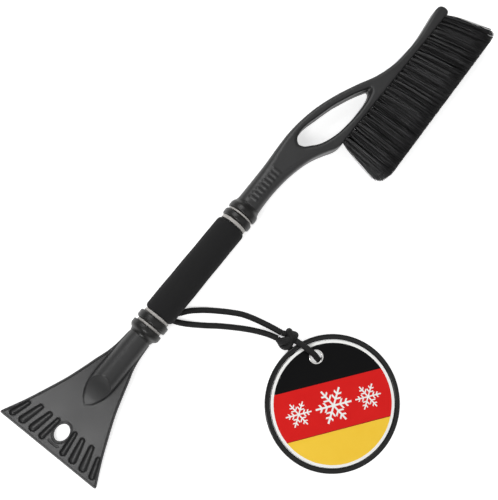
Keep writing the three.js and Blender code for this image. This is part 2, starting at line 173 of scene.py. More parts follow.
def make_piece(name, points, faces, finish, sharp):
    """An object of one finish, smooth except where faces meet at more than so many degrees."""
    mesh = bpy.data.meshes.new(name)
    mesh.from_pydata([tuple(point) for point in points], [], faces)
    mesh.polygons.foreach_set("use_smooth", [True] * len(mesh.polygons))
    mesh.set_sharp_from_angle(angle=math.radians(sharp))
    mesh.materials.append(finish.material)
    piece = bpy.data.objects.new(name, mesh)
    bpy.context.scene.collection.objects.link(piece)
    return piece


def on_scraper(piece, node):
    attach(piece, "scraper")
    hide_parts(node)


CURVE_DETAIL = 24


def smooth_route(points, step):
    """Evenly spaced places on a smooth curve through the points, ends kept, and its length."""
    points = np.array(points, float)
    ahead = 2 * points[-1] - points[-2]
    behind = 2 * points[0] - points[1]
    wide = np.vstack([behind, points, ahead])
    chords = np.linalg.norm(np.diff(wide, axis=0), axis=1) ** 0.5
    knots = np.concatenate([[0], np.cumsum(chords)])
    dense = []
    for i in range(1, len(wide) - 2):
        t0, t1, t2, t3 = knots[i - 1:i + 3]
        p0, p1, p2, p3 = wide[i - 1:i + 3]
        for t in np.linspace(t1, t2, CURVE_DETAIL, endpoint=False):
            a1 = p0 + (p1 - p0) * (t - t0) / (t1 - t0)
            a2 = p1 + (p2 - p1) * (t - t1) / (t2 - t1)
            a3 = p2 + (p3 - p2) * (t - t2) / (t3 - t2)
            b1 = a1 + (a2 - a1) * (t - t0) / (t2 - t0)
            b2 = a2 + (a3 - a2) * (t - t1) / (t3 - t1)
            dense.append(b1 + (b2 - b1) * (t - t1) / (t2 - t1))
    dense = np.array(dense + [points[-1]])
    along = np.concatenate([[0], np.cumsum(np.linalg.norm(np.diff(dense, axis=0), axis=1))])
    places = np.linspace(0, along[-1], max(4, round(along[-1] / step)) + 1)
    return np.stack([np.interp(places, along, dense[:, k]) for k in range(3)], axis=1), along[-1]


BRAID_CARRIERS = 8
BRAID_PICK = 0.0021
BRAID_RELIEF = 0.00032
BRAID_SIDES = 40
BRAID_STEP = 0.0004


def braid_tube(route):
    """Points and faces of a round braided sheath along a route, closed at both ends."""
    path, length = smooth_route(route, BRAID_STEP)
    tangents = np.gradient(path, axis=0)
    tangents /= np.linalg.norm(tangents, axis=1)[:, None]
    side = np.cross(tangents[0], (0.0, 0.0, 1.0))
    side /= np.linalg.norm(side)
    points = []
    angles = np.arange(BRAID_SIDES) * 2 * math.pi / BRAID_SIDES
    for i, (centre, tangent) in enumerate(zip(path, tangents)):
        side = side - tangent * side.dot(tangent)
        side /= np.linalg.norm(side)
        over = np.cross(tangent, side)
        turn = BRAID_CARRIERS * angles / 2
        lay = math.pi * i * length / (len(path) - 1) / BRAID_PICK
        weave = np.sin(turn + lay) * np.sin(turn - lay)
        reach = CORD_RADIUS - BRAID_RELIEF * (0.5 - 0.5 * weave)
        outward = np.cos(angles)[:, None] * side + np.sin(angles)[:, None] * over
        points.append(centre + reach[:, None] * outward)
    faces = []
    for i in range(len(path) - 1):
        a, b = i * BRAID_SIDES, (i + 1) * BRAID_SIDES
        for j in range(BRAID_SIDES):
            k = (j + 1) % BRAID_SIDES
            faces.append((a + j, a + k, b + k, b + j))
    last = (len(path) - 1) * BRAID_SIDES
    faces.append(tuple(range(BRAID_SIDES))[::-1])
    faces.append(tuple(last + j for j in range(BRAID_SIDES)))
    return np.vstack(points), faces, path, length


cord_finish = Finish("braided_cord", (0.008, 0.008, 0.0085), 0.7,
                     constants={"Specular IOR Level": 0.3})
yarn = cord_finish.noise(2600, 3)
fibre = cord_finish.noise(620, 2)
cord_finish.set("Base Color", cord_finish.mix(fibre, grey(0.002), grey(0.014)))
cord_finish.bump(yarn, 0.0002, 0.5)

UPPER_STRAND = [
    (-0.003, -0.1154, 0.005), (-0.0008, -0.113, 0.0037), (0.002, -0.1092, 0.0031),
    (0.0055, -0.1051, 0.003), (0.01, -0.101, 0.003), (0.015, -0.0967, 0.003),
    (0.025, -0.0895, 0.003), (0.035, -0.083, 0.003), (0.045, -0.0775, 0.003),
    (0.055, -0.074, 0.003), (0.065, -0.0714, 0.003), (0.075, -0.0692, 0.003),
    (0.0844, -0.0676, 0.003),
]
LOWER_STRAND = [
    (-0.003, -0.1232, 0.005), (-0.0004, -0.1224, 0.0036), (0.003, -0.121, 0.0031),
    (0.008, -0.1184, 0.003), (0.015, -0.114, 0.003), (0.025, -0.107, 0.003),
    (0.035, -0.0995, 0.003), (0.045, -0.0928, 0.003), (0.055, -0.0866, 0.003),
    (0.065, -0.0812, 0.003), (0.075, -0.0768, 0.003), (0.0844, -0.074, 0.003),
]
TAG_LOOP = [
    (0.099, -0.0662, 0.0146), (0.1025, -0.066, 0.016), (0.107, -0.0657, 0.0169),
    (0.1117, -0.0655, 0.0169), (0.1158, -0.0654, 0.0162), (0.1194, -0.0654, 0.0141),
    (0.1219, -0.0654, 0.0113), (0.1233, -0.0654, 0.0087), (0.1257, -0.0654, 0.0059),
    (0.1293, -0.0657, 0.0038), (0.134, -0.067, 0.0031), (0.1394, -0.0702, 0.003),
    (0.143, -0.0755, 0.003), (0.1433, -0.0817, 0.003), (0.1396, -0.087, 0.003),
    (0.133, -0.0898, 0.003), (0.125, -0.0887, 0.003), (0.117, -0.0842, 0.003),
    (0.109, -0.0786, 0.003), (0.1009, -0.0746, 0.0037),
]

for name, route, node in (
    ("wrist_cord_upper", UPPER_STRAND, "cord_strand_upper"),
    ("wrist_cord_lower", LOWER_STRAND, "cord_strand_lower"),
    ("tag_cord_loop", TAG_LOOP, "cord_tag_loop"),
):
    points, faces, path, length = braid_tube(route)
    strand = make_piece(name, points, faces, cord_finish, sharp=60)
    on_scraper(strand, node)

# ---------------------------------------------------------------- cord knot
# The two strands are tied together in one overhand knot, pulled tight, a hand's width from the
# grip. The free bight on its far side holds the hang tag.
KNOT_FIRST = [
    (0.0844, -0.074, 0.003), (0.088, -0.0752, 0.0036), (0.092, -0.0768, 0.0054),
    (0.0956, -0.0758, 0.0094), (0.096, -0.0714, 0.013), (0.093, -0.0664, 0.0149),
    (0.0892, -0.0634, 0.0126), (0.0882, -0.0626, 0.008), (0.0902, -0.065, 0.0044),
    (0.0942, -0.0694, 0.0034), (0.098, -0.0728, 0.0034), (0.1009, -0.0746, 0.0037),
]
KNOT_SECOND = [
    (0.0844, -0.0676, 0.003), (0.0876, -0.066, 0.0036), (0.0916, -0.0626, 0.0054),
    (0.095, -0.0616, 0.009), (0.0952, -0.065, 0.013), (0.0926, -0.0704, 0.015),
    (0.0896, -0.0746, 0.0132), (0.0879, -0.076, 0.0092), (0.089, -0.0732, 0.0066),
    (0.0924, -0.069, 0.0086), (0.0958, -0.0668, 0.0122), (0.099, -0.0662, 0.0146),
]
knot_points = []
knot_faces = []
for route in (KNOT_FIRST, KNOT_SECOND):
    points, faces, *_ = braid_tube(route)
    knot_faces += [tuple(index + len(knot_points) for index in face) for face in faces]
    knot_points += list(points)
knot = make_piece("cord_knot_tied", knot_points, knot_faces, cord_finish, sharp=60)
on_scraper(knot, "cord_knot")

# ---------------------------------------------------------------- scraper blade
# One injection moulding in tough charcoal plastic: a fan-shaped plate that bends down to a thin
# scraping edge, pockets between its ice-breaking ribs, an oval hanging hole, and the socket that
# takes the tube's lower end.
charcoal = Finish("moulded_charcoal", (0.018, 0.018, 0.0185), 0.42)
cloudiness = charcoal.noise(28, 3)
spark = charcoal.noise(3200, 2)
charcoal_tone = charcoal.mix(cloudiness, (0.014, 0.014, 0.0144, 1), (0.023, 0.023, 0.0236, 1))
charcoal.set("Base Color", charcoal_tone)
charcoal.set("Roughness", 0.34 + 0.12 * cloudiness + 0.06 * spark)
charcoal.bump(spark, 0.00006, 0.55)


def rounded_min(a, b, fillet):
    """Joins two solids, with a fillet where they meet."""
    share = np.clip(0.5 + 0.5 * (b - a) / fillet, 0, 1)
    return b + (a - b) * share - fillet * share * (1 - share)


def rounded_max(a, b, fillet):
    """What two solids have in common, with a rounded edge where they meet."""
    return -rounded_min(-a, -b, fillet)


def step_up(value, low, high):
    share = np.clip((value - low) / (high - low), 0, 1)
    return share * share * (3 - 2 * share)


CURVE_STEP = 0.0005
BEND_DETAIL = 60


def curve_through(points, places):
    """Reads a smooth curve through (value, along) points at places along the tube."""
    curve, _ = smooth_route([(value, along, 0) for value, along in points], CURVE_STEP)
    order = np.argsort(curve[:, 1])
    return np.interp(places, curve[order, 1], curve[order, 0])


def bent_curve(start, control, end, places):
    """Reads a curve that leaves start towards control and ends at end, all (value, along)."""
    t = np.linspace(0, 1, BEND_DETAIL)[:, None]
    start, control, end = np.array(start), np.array(control), np.array(end)
    curve = (1 - t) ** 2 * start + 2 * t * (1 - t) * control + t ** 2 * end
    order = np.argsort(curve[:, 1])
    return np.interp(places, curve[order, 1], curve[order, 0])


def moulding(name, solid, low, high, cell, finish):
    """The skin of a moulded piece. solid(across, along, up) says how far a place is outside it."""
    low = np.array(low)
    counts = np.ceil((np.array(high) - low) / cell).astype(int) + 1
    across, along, up = (low[k] + cell * np.arange(counts[k]) for k in range(3))
    depth = solid(across[:, None, None], along[None, :, None], up[None, None, :])
    # One point in each cell that the skin passes through, amid the places where it cuts the edges
    total = np.zeros((*(counts - 1), 3))
    hits = np.zeros(counts - 1)
    for axis in range(3):
        others = [k for k in range(3) if k != axis]
        for first, second in ((0, 0), (0, 1), (1, 0), (1, 1)):
            near = [slice(None, -1)] * 3
            near[others[0]] = slice(first, counts[others[0]] - 1 + first)
            near[others[1]] = slice(second, counts[others[1]] - 1 + second)
            far = list(near)
            far[axis] = slice(1, None)
            a = depth[tuple(near)]
            b = depth[tuple(far)]
            crossed = (a < 0) != (b < 0)
            part = np.where(crossed, a / np.where(crossed, a - b, 1), 0)
            total[..., axis] += part
            total[..., others[0]] += crossed * first
            total[..., others[1]] += crossed * second
            hits += crossed
    used = hits > 0
    number = np.full(used.shape, -1)
    number[used] = np.arange(used.sum())
    points = low + cell * (np.argwhere(used) + total[used] / hits[used][:, None])
    # One face across each grid edge that the skin cuts, turned to look outward
    faces = []
    inside = depth < 0
    for axis in range(3):
        first, second = (axis + 1) % 3, (axis + 2) % 3
        near = [slice(1, -1)] * 3
        near[axis] = slice(None, -1)
        far = list(near)
        far[axis] = slice(1, None)
        a = inside[tuple(near)]
        b = inside[tuple(far)]
        start = np.ones(3, int)
        start[axis] = 0
        for chosen, turn in ((a & ~b, 1), (b & ~a, -1)):
            places = np.argwhere(chosen) + start
            corners = []
            for back in ((0, 0), (1, 0), (1, 1), (0, 1))[::turn]:
                cell_places = places.copy()
                cell_places[:, first] -= back[0]
                cell_places[:, second] -= back[1]
                corners.append(number[tuple(cell_places.T)])
            faces.append(np.stack(corners, axis=1))
    points = points + np.array(at(0, 0))
    return make_piece(name, points, np.vstack(faces).tolist(), finish, sharp=60)


PLATE_START = -0.014
PLATE_TOP, PLATE_DROP, PLATE_STRAIGHTNESS, PAST_EDGE = -0.002, 0.015, 0.15, 1.05
EDGE_ALONG = -0.143
PLATE_THICKNESS = 0.004
EDGE_THICKNESS = 0.0016
CHAMFER_ALONG = -0.1412
FAN_HALF = [(0.0565, EDGE_ALONG), (0.0448, -0.12), (0.036, -0.1), (0.0278, -0.08), (0.0213, -0.06),
            (0.0183, -0.05), (0.015, -0.04), (0.013, -0.03), (0.0112, PLATE_START)]
# Shares that turn a level or upright distance into one square to a slanting face
SIDE_SLANT, PLATE_SLANT, NOSE_SLANT, SCOOP_SLANT = 0.92, 0.98, 0.85, 0.75
EDGE_CORNER = 0.003
PLATE_TOP_ROUNDING, PLATE_UNDER_ROUNDING = 0.0009, 0.0007
RIM_WIDTH, RIM_RISE, RIM_SLOPE = 0.0017, 0.0008, 0.0003
BOSS_MOUTH, BOSS_SHOULDER, BOSS_TIP = -0.0113, -0.06, -0.09
BOSS_RADIUS, BOSS_NOSE_RADIUS = 0.0112, 0.0123
BOSS_FILLET, MOUTH_ROUNDING = 0.0016, 0.0003
NOSE_HALF = ((0, BOSS_TIP + 0.001), (0.0092, -0.0862), (0.0142, -0.058))
NOSE_ROUNDING = 0.0025
SCOOP_TIP_RISE, SCOOP_TIP_PAST, SCOOP_BEND, SCOOP_TOP = 0.0032, 0.002, (0.001, -0.07), 0.0126
SCOOP_ROUNDING = 0.0008
FAR_INSIDE = -0.01
LIP_RISE, LIP_HALF, LIP_FADE = 0.0005, 0.0009, 0.002
KEEL_UP, KEEL_ROUNDING = (-0.0082, -0.0125), 0.002
SOCKET_RADIUS = 0.0098
SOCKET_CLEARANCE = 0.0003
TUBE_START, BLADE_BORE_END = -0.048, 0.02
BLADE_PIN_ALONG = -0.03
POCKET_DEPTH, POCKET_TOP_DEPTH, POCKET_TOP_WIDTH = 0.0033, 0.75, 0.5
POCKET_TOP, POCKET_BOTTOM = -0.112, -0.1384
POCKET_WIDENING, POCKET_SLANT = 0.7, 0.7
POCKET_FLOOR_ROUNDING, POCKET_LIP_ROUNDING = 0.0004, 0.0006
# Pockets: middle at the top and at the bottom, half width, how much shorter at the top
POCKETS = ((0.0095, 0.0126, 0.0031, 0), (0.018, 0.024, 0.0038, 0), (0.0283, 0.036, 0.0038, 0),
           (0.0393, 0.0472, 0.0031, 0.005))
HOLE_ALONG, HOLE_HALF_WIDTH, HOLE_HALF_LENGTH, HOLE_MEAN = -0.122, 0.0064, 0.0085, 0.0075
HOLE_ROUNDING = 0.0008
HOLE_RING_RISE, HOLE_RING_IN, HOLE_RING_OUT = 0.0007, 0.0015, 0.0021
BROW_CENTRE, BROW_RADIUS, BROW_RISE, BROW_SLOPE = -0.1165, 0.0185, 0.0005, 0.0004
BROW_HALF_WIDTH, BROW_HALF_LENGTH = 0.0007, 0.0055
PIN_RADIUS, PIN_TOP = 0.0023, -0.005


def plate_underside(along):
    run = np.clip((PLATE_START - along) / (PLATE_START - EDGE_ALONG), 0, PAST_EDGE)
    return PLATE_TOP - PLATE_DROP * (PLATE_STRAIGHTNESS * run + (1 - PLATE_STRAIGHTNESS) * run ** 2)


def rod_distance(x, y, start, end, radius):
    """How far a place in a plane is outside a bar with round ends."""
    run = np.subtract(end, start)
    part = np.clip(((x - start[0]) * run[0] + (y - start[1]) * run[1]) / run.dot(run), 0, 1)
    return np.hypot(x - start[0] - part * run[0], y - start[1] - part * run[1]) - radius


def socket_bore(across, along, up, start, end, pin_along):
    """The bore for the tube, and the hole for the lock pin under it."""
    bore = np.maximum(np.hypot(across, up) - SOCKET_RADIUS, np.maximum(start - along, along - end))
    pin = np.maximum(np.hypot(across, along - pin_along) - PIN_RADIUS, up - PIN_TOP)
    return np.minimum(bore, pin)


def plate_solid(across, along, up, hole):
    """The fan-shaped plate: raised rim, ring and brow round the hole, and troughs for pockets."""
    side = (abs(across) - curve_through(FAN_HALF, along)) * SIDE_SLANT
    plan = rounded_max(side, EDGE_ALONG - along, EDGE_CORNER)
    under = plate_underside(along)
    rim = RIM_RISE * step_up(side, -RIM_WIDTH - RIM_SLOPE, -RIM_WIDTH + RIM_SLOPE)
    ring = HOLE_RING_RISE * step_up(-hole, -HOLE_RING_OUT, -HOLE_RING_IN)
    brow = abs(np.hypot(across, along - BROW_CENTRE) - BROW_RADIUS) - BROW_HALF_WIDTH
    brow = np.maximum(brow, abs(across) - BROW_HALF_LENGTH)
    brow = BROW_RISE * step_up(-brow, -BROW_SLOPE, BROW_SLOPE)
    brow = np.where(along < HOLE_ALONG, brow, 0)
    thin = (along - EDGE_ALONG) / (CHAMFER_ALONG - EDGE_ALONG)
    thickness = EDGE_THICKNESS + (PLATE_THICKNESS - EDGE_THICKNESS) * np.clip(thin, 0, 1)
    top = under + thickness + rim + ring + brow
    plate = rounded_max(plan, (up - top) * PLATE_SLANT, PLATE_TOP_ROUNDING)
    plate = rounded_max(plate, (under - up) * PLATE_SLANT, PLATE_UNDER_ROUNDING)
    plate = np.maximum(plate, along - PLATE_START)
    for middle_top, middle_bottom, half, rise in POCKETS:
        start = np.array((middle_top, POCKET_TOP - rise))
        end = np.array((middle_bottom, POCKET_BOTTOM))
        inset = (end - start) / np.linalg.norm(end - start) * half
        down = np.clip((start[1] - along) / (start[1] - end[1]), 0, 1)
        wide = half * (POCKET_TOP_WIDTH + (1 - POCKET_TOP_WIDTH) * down ** POCKET_WIDENING)
        trough = rod_distance(abs(across), along, start + inset, end - inset, 0) / wide
        depth = POCKET_DEPTH * (POCKET_TOP_DEPTH + (1 - POCKET_TOP_DEPTH) * down)
        depth = depth * np.sqrt(np.clip(1 - trough ** 2, 0, 1))
        floor_distance = (under + thickness - depth - up) * POCKET_SLANT
        pocket = rounded_max((trough - 1) * wide, floor_distance, POCKET_FLOOR_ROUNDING)
        plate = rounded_max(plate, -pocket, POCKET_LIP_ROUNDING)
    return plate


def boss_solid(across, along, up):
    """The socket's outside: a tapered barrel whose nose is scooped out down to the plate."""
    radius = np.interp(along, (BOSS_SHOULDER, BOSS_MOUTH), (BOSS_NOSE_RADIUS, BOSS_RADIUS))
    scoop_tip = (plate_underside(BOSS_TIP) + SCOOP_TIP_RISE, BOSS_TIP - SCOOP_TIP_PAST)
    scoop = bent_curve(scoop_tip, SCOOP_BEND, (SCOOP_TOP, BOSS_SHOULDER), along)
    lip = LIP_RISE * np.exp(-((up - scoop) / LIP_HALF) ** 2)
    lip = lip * step_up(-along, -BOSS_SHOULDER - LIP_FADE, -BOSS_SHOULDER)
    boss = np.hypot(across, up) - radius - lip
    nose = bent_curve(*NOSE_HALF, along)
    boss = rounded_max(boss, (abs(across) - nose) * NOSE_SLANT, NOSE_ROUNDING)
    scooped = np.where(along < BOSS_SHOULDER, (up - scoop) * SCOOP_SLANT, FAR_INSIDE)
    boss = rounded_max(boss, scooped, SCOOP_ROUNDING)
    keel = np.interp(along, (BOSS_TIP, BOSS_SHOULDER), KEEL_UP)
    boss = rounded_max(boss, keel - up, KEEL_ROUNDING)
    boss = rounded_max(boss, along - BOSS_MOUTH, MOUTH_ROUNDING)
    return np.maximum(boss, BOSS_TIP - along)


def blade_solid(across, along, up):
    hole = np.hypot(across / HOLE_HALF_WIDTH, (along - HOLE_ALONG) / HOLE_HALF_LENGTH)
    hole = (hole - 1) * HOLE_MEAN
    plate = plate_solid(across, along, up, hole)
    body = rounded_min(plate, boss_solid(across, along, up), BOSS_FILLET)
    body = rounded_max(body, -hole, HOLE_ROUNDING)
    bore = socket_bore(across, along, up, TUBE_START - SOCKET_CLEARANCE,
                       BLADE_BORE_END, BLADE_PIN_ALONG)
    return np.maximum(body, -bore)


blade = moulding("scraper_blade_moulding", blade_solid, low=(-0.0582, -0.1447, -0.0182),
                 high=(0.0582, -0.0097, 0.0142), cell=0.0006, finish=charcoal)
on_scraper(blade, "scraper_blade")

# ---------------------------------------------------------------- tube and lock pins
# A thin-walled drawn aluminium tube inside the grip joins the blade to the brush frame. A steel
# spring pin under each socket stops the mouldings from turning or sliding off.


def carried(name, finish):
    node = bpy.data.objects[name]
    for place in node.material_slots:
        place.material = finish.material


drawn_aluminium = Finish("drawn_aluminium", (0.72, 0.73, 0.74), 0.32, 1.0)
stretch = drawn_aluminium.node("VectorMath", {"operation": "MULTIPLY"},
                               {0: drawn_aluminium.place(), 1: (900, 12, 900)})
drawing_lines = drawn_aluminium.noise(1.0, 3, place=stretch)
drawn_aluminium.set("Roughness", 0.24 + 0.2 * drawing_lines)
drawn_aluminium.bump(drawing_lines, 0.00002, 0.4)
carried("shaft_tube", drawn_aluminium)

pin_steel = Finish("spring_steel", (0.55, 0.56, 0.57), 0.3, 1.0)
pin_marks = pin_steel.noise(1400, 3)
pin_steel.set("Roughness", 0.22 + 0.2 * pin_marks)
for name in ("blade_lock_pin", "brush_lock_pin"):
    carried(name, pin_steel)

# ---------------------------------------------------------------- trim rings and collars
# Black moulded trim on the tube at both ends of the grip: a bell-shaped collar over each socket's
# mouth, then a plain rounded ring. They are pushed on and held by their neighbours.
trim = Finish("trim_black", (0.007, 0.0069, 0.0066), 0.36, constants={"Specular IOR Level": 0.4})
trim_grain = trim.noise(2600, 2)
handling = trim.noise(70, 3)
trim.set("Base Color", trim.mix(handling, (0.0055, 0.0054, 0.0051, 1), (0.0095, 0.0092, 0.0088, 1)))
trim.set("Roughness", 0.3 + 0.16 * handling)
trim.bump(trim_grain, 0.00004, 0.4)

TUBE_POSE = Matrix.Translation(at(0, 0)) @ Matrix.Rotation(math.radians(-90), 4, "X")


def ring_faces(rings, size):
    """Faces between sections of one size that follow each other round a closed ring."""
    faces = []
    for i in range(rings):
        a, b = i * size, (i + 1) % rings * size
        for j in range(size):
            k = (j + 1) % size
            faces.append((a + j, b + j, b + k, a + k))
    return faces


def turned(name, corners, finish, pose=TUBE_POSE, segments=112, bends=6):
    """A ring turned about the pose's Z axis, from corners (along, radius, rounding) in its section."""
    section = []
    for i, corner in enumerate(corners):
        here = np.array(corner[:2])
        into = np.array(corners[i - 1][:2]) - here
        onward = np.array(corners[(i + 1) % len(corners)][:2]) - here
        start = here + into / np.linalg.norm(into) * corner[2]
        end = here + onward / np.linalg.norm(onward) * corner[2]
        for t in np.linspace(0, 1, bends):
            section.append((1 - t) ** 2 * start + 2 * t * (1 - t) * here + t ** 2 * end)
    points = []
    for i in range(segments):
        angle = 2 * math.pi * i / segments
        for along, radius in section:
            points.append(pose @ Vector((radius * math.cos(angle), radius * math.sin(angle), along)))
    faces = ring_faces(segments, len(section))
    piece = make_piece(name, points, faces, finish, sharp=50)
    mesh_work = bmesh.new()
    mesh_work.from_mesh(piece.data)
    bmesh.ops.recalc_face_normals(mesh_work, faces=mesh_work.faces)
    mesh_work.to_mesh(piece.data)
    mesh_work.free()
    return piece


def ring_corners(start, end, radius, bore_rounding, rounding):
    """The section of a plain ring on the tube."""
    return ((start, SOCKET_RADIUS, bore_rounding), (start, radius, rounding),
            (end, radius, rounding), (end, SOCKET_RADIUS, bore_rounding))


COLLAR_BELL, COLLAR_NECK, COLLAR_LENGTH, COLLAR_LIP = 0.0058, 0.0085, 0.0107, 0.0004
COLLAR_ROUNDING, BELL_ROUNDING = 0.0012, 0.0022
TRIM_BORE_ROUNDING, RING_ROUNDING = 0.0003, 0.0021

# Collars: wide end, direction to the narrow end, radius at the mouth, radius
for name, wide, way, mouth, radius in (
    ("lower_collar", -0.0008, -1, 0.0116, 0.0155),
    ("upper_collar", 0.1343, 1, 0.0122, 0.0147),
):
    bell, neck, narrow = (wide + way * run for run in (COLLAR_BELL, COLLAR_NECK, COLLAR_LENGTH))
    corners = (
        (wide, SOCKET_RADIUS, TRIM_BORE_ROUNDING), (wide, radius, COLLAR_ROUNDING),
        (bell, radius, BELL_ROUNDING), (neck, mouth + COLLAR_LIP, COLLAR_ROUNDING),
        (narrow, mouth, TRIM_BORE_ROUNDING), (narrow, SOCKET_RADIUS, TRIM_BORE_ROUNDING),
    )
    on_scraper(turned(name + "_bell", corners, trim), name)

# Rings: start, end, radius
for name, start, end, radius in (
    ("lower_ring", LOWER_RING_START, 0.0098, 0.0155),
    ("upper_ring", 0.1251, 0.1318, 0.0147),
):
    corners = ring_corners(start, end, radius, TRIM_BORE_ROUNDING, RING_ROUNDING)
    on_scraper(turned(name + "_moulded", corners, trim, bends=9), name)

# ---------------------------------------------------------------- spacer washers
# Thin gray nylon washers between the black rings, stamped, with eased edges. Smaller than the
# rings, so that each one shows as a pale line in a groove.
spacer = Finish("spacer_gray", (0.36, 0.345, 0.33), 0.46)
spacer_tone = spacer.noise(260, 3)
spacer.set("Base Color", spacer.mix(spacer_tone, (0.32, 0.305, 0.29, 1), (0.44, 0.425, 0.405, 1)))
spacer.set("Roughness", 0.4 + 0.14 * spacer_tone)
spacer.bump(spacer.noise(2200, 2), 0.00003, 0.4)
WASHER_BORE_ROUNDING, WASHER_ROUNDING = 0.0002, 0.0004

# Washers: start, end, radius
for name, start, end, radius in (
    ("lower_washer_outer", -0.0005, 0.0018, 0.0129),
    ("lower_washer_inner", 0.0101, 0.0128, 0.0131),
    ("upper_washer_inner", 0.1216, 0.1248, 0.013),
    ("upper_washer_outer", 0.1321, 0.134, 0.0128),
):
    corners = ring_corners(start, end, radius, WASHER_BORE_ROUNDING, WASHER_ROUNDING)
    on_scraper(turned(name + "_stamped", corners, spacer, bends=4), name)

# ---------------------------------------------------------------- foam grip
# A sleeve of closed-cell EVA foam, pulled over the tube with soap and left to grip it. Its skin is
# matte and slightly uneven, and the cord's bush sits in a slot cut in its underside.
GRIP_START, GRIP_END = 0.0131, 0.1213
GRIP_RADIUS, GRIP_END_RADIUS = 0.0152, 0.0148
GRIP_INSET, UNEVENNESS = 0.0001, 0.00004
# Waves in the foam's skin: how many round the grip, turn along it, start
WAVES = ((2, 90, 1), (3, -160, 0), (1, 210, 0))
GRIP_ROUNDING, GRIP_BORE_ROUNDING = 0.004, 0.0004
EXIT_ALONG = 0.0223
EXIT_SPREAD = 0.00375
BUSH_HALF, BUSH_CLEARANCE = 0.0043, 0.0003
SLOT_ROUNDING = 0.0006
EXIT_TURN = math.radians(45)

foam = Finish("eva_foam", (0.014, 0.014, 0.0145), 0.92, constants={"Specular IOR Level": 0.25})
cells = foam.node("TexVoronoi", {"feature": "F1"}, {"Vector": foam.place(), "Scale": 1500})
foam_tone = foam.noise(45, 4)
foam.set("Base Color", foam.mix(foam_tone, (0.009, 0.009, 0.0093, 1), (0.0145, 0.0145, 0.015, 1)))
foam.set("Roughness", 0.84 + 0.12 * foam_tone)
foam.bump(cells + 0.5 * foam.noise(900, 3), 0.00018, 0.55)


def grip_solid(across, along, up):
    angle = np.arctan2(up, across)
    radius = np.interp(along, (GRIP_START, GRIP_END), (GRIP_RADIUS, GRIP_END_RADIUS)) - GRIP_INSET
    uneven = sum(np.sin(count * angle + turn * along + start) for count, turn, start in WAVES)
    skin = np.hypot(across, up) - radius + UNEVENNESS * uneven
    ends = abs(along - (GRIP_START + GRIP_END) / 2) - (GRIP_END - GRIP_START) / 2
    corner = np.hypot(np.maximum(skin + GRIP_ROUNDING, 0), np.maximum(ends + GRIP_ROUNDING, 0))
    body = np.minimum(np.maximum(skin, ends) + GRIP_ROUNDING, 0) + corner - GRIP_ROUNDING
    body = rounded_max(body, SOCKET_RADIUS - np.hypot(across, up), GRIP_BORE_ROUNDING)
    beside = across * math.sin(EXIT_TURN) + up * math.cos(EXIT_TURN)
    outward = across * math.sin(EXIT_TURN) - up * math.cos(EXIT_TURN)
    slot = rod_distance(along, beside, (EXIT_ALONG - EXIT_SPREAD, 0), (EXIT_ALONG + EXIT_SPREAD, 0),
                        BUSH_HALF + BUSH_CLEARANCE)
    return rounded_max(body, -np.maximum(slot, -outward), SLOT_ROUNDING)


grip = moulding("foam_grip", grip_solid, low=(-0.0165, 0.0119, -0.0165),
                high=(0.0165, 0.1226, 0.0165), cell=0.0007, finish=foam)
on_scraper(grip, "grip_sleeve")

# ---------------------------------------------------------------- cord bush and stopper
# The bush is a black moulding that lines the slot through the foam and the tube's wall. Inside
# the tube both cord ends are knotted and clamped into one lump that can't pull through it.
carried("cord_grommet", trim)
carried("cord_stopper", cord_finish)

# ---------------------------------------------------------------- brush frame
# One more charcoal moulding: a stem that is round at its collar and carries thumb ridges, the
# open finger loop, and the long block whose face is drilled for the bristles.
FRAME_START = 0.1446
FRAME_HALF_DEPTH = 0.012
BLOCK_FACE = 0.0315
STEM_END = FRAME_START - 0.02
OUTLINE_STEP = 0.0015
# Outlines seen from above, as places (across, along)
FRAME_RIGHT = [(0.0119, STEM_END), (0.0119, FRAME_START), (0.0112, 0.155), (0.011, 0.17),
               (0.0125, 0.19), (0.0165, 0.21), (0.02, 0.22), (0.025, 0.23), (0.03, 0.239),
               (BLOCK_FACE, 0.244)]
FRAME_TIP = [(BLOCK_FACE, 0.41), (0.0313, 0.4135), (0.0298, 0.4158), (0.0265, 0.4168),
             (0.0226, 0.416), (0.0201, 0.4135), (0.0195, 0.41)]
FRAME_LEFT = [(0.0195, 0.409), (0.022, 0.39), (0.0234, 0.375), (0.0233, 0.36), (0.0216, 0.34),
              (0.016, 0.32), (0.0065, 0.3), (-0.002, 0.28), (-0.0085, 0.26), (-0.0125, 0.24),
              (-0.014, 0.222), (-0.0136, 0.205), (-0.0124, 0.185), (-0.0119, FRAME_START),
              (-0.0119, STEM_END)]
FINGER_LOOP = [(0.001, 0.2195), (0.0055, 0.2215), (0.0095, 0.226), (0.0145, 0.232),
               (0.0188, 0.241), (0.022, 0.252), (0.024, 0.268), (0.0244, 0.282), (0.0234, 0.296),
               (0.0212, 0.304), (0.0186, 0.306), (0.016, 0.302), (0.01, 0.29), (0.006, 0.28),
               (0.0023, 0.27), (-0.0028, 0.25), (-0.0053, 0.24), (-0.0062, 0.231),
               (-0.005, 0.2245), (-0.002, 0.2208), (0.001, 0.2195)]
PARTING_RISE, PARTING_HALF = 0.0005, 0.0007
# How rounded the frame's sides are at places along it
ROUNDING_ALONG = (FRAME_START, 0.172, 0.212, 0.25)
FRAME_ROUNDING = (0.0108, 0.0085, 0.0048, 0.003)
FRAME_MOUTH_ROUNDING = 0.0005
RIDGE_FIRST, RIDGE_PITCH, RIDGE_COUNT = 0.152, 0.0048, 8
RIDGE_HALF, RIDGE_RADIUS, RIDGE_UP, RIDGE_FILLET = 0.0035, 0.0012, 0.0115, 0.0014
FRAME_BORE_START, TUBE_END, FRAME_PIN_ALONG = 0.1, 0.186, 0.166
TUFT_COUNT = 18
TUFT_FIRST, TUFT_PITCH = 0.2524, 0.0091
TUFT_ROW_UP = 0.0064
TUFT_HOLE_RADIUS, TUFT_HOLE_DEPTH, TUFT_HOLE_ROUNDING = 0.004, 0.0055, 0.0005

